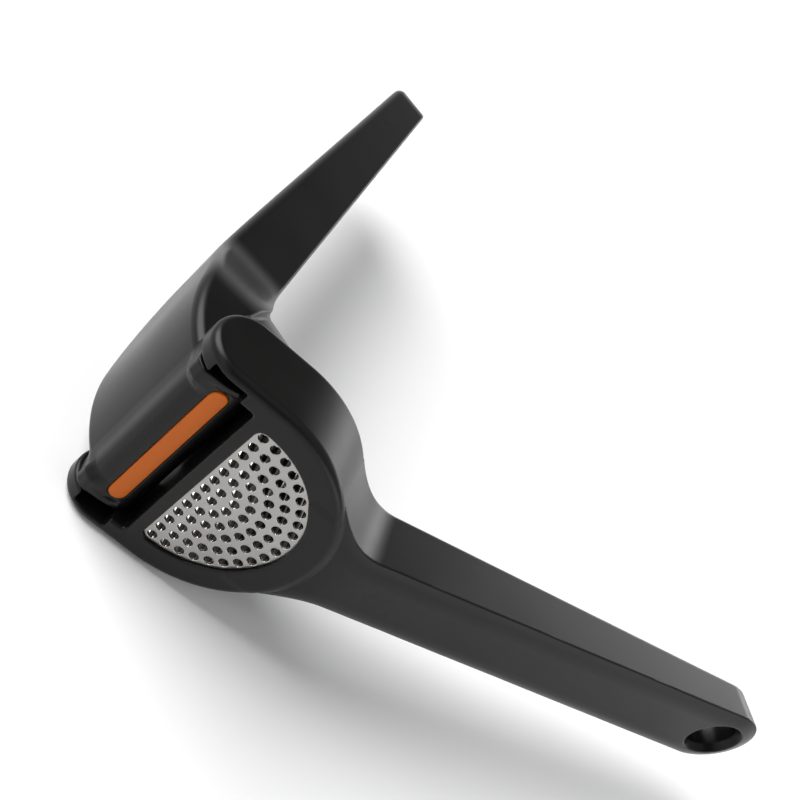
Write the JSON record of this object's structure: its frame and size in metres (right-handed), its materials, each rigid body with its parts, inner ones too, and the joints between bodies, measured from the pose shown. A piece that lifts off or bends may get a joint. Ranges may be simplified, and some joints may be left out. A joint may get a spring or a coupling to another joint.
{
  "type": "garlic press",
  "caption": "Two-handled garlic press: a frame with a half-round chamber and steel strainer, and a hooked-in lever with a matching plunger.",
  "frame": {"origin": "foot of the hinge axis on the flat outer side of the lower ear, with the press lying on its side", "axes": "+Z along the hinge axis, +X from the hinge towards the frame's handle and in the plane of the strainer, +Y towards the side of the chamber that the garlic goes into, which the lever opens away from"},
  "size_m": [0.1835, 0.1755, 0.056],
  "materials": {
    "black_plastic": "satin moulded",
    "steel": "fine brushed",
    "orange_plastic": "satin moulded"
  },
  "bodies": {
    "frame_half": {"press_frame": "black_plastic", "strainer_plate": "steel"},
    "lever_half": {"lever": "black_plastic", "accent_strip": "orange_plastic"}
  },
  "joints": [
    {"name": "lever_hinge", "type": "hinge", "parent": "frame_half", "child": "lever_half", "pos_m": [0, 0, 0.028], "axis": [0, 0, 1], "range_deg": [-65, 75]}
  ]
}
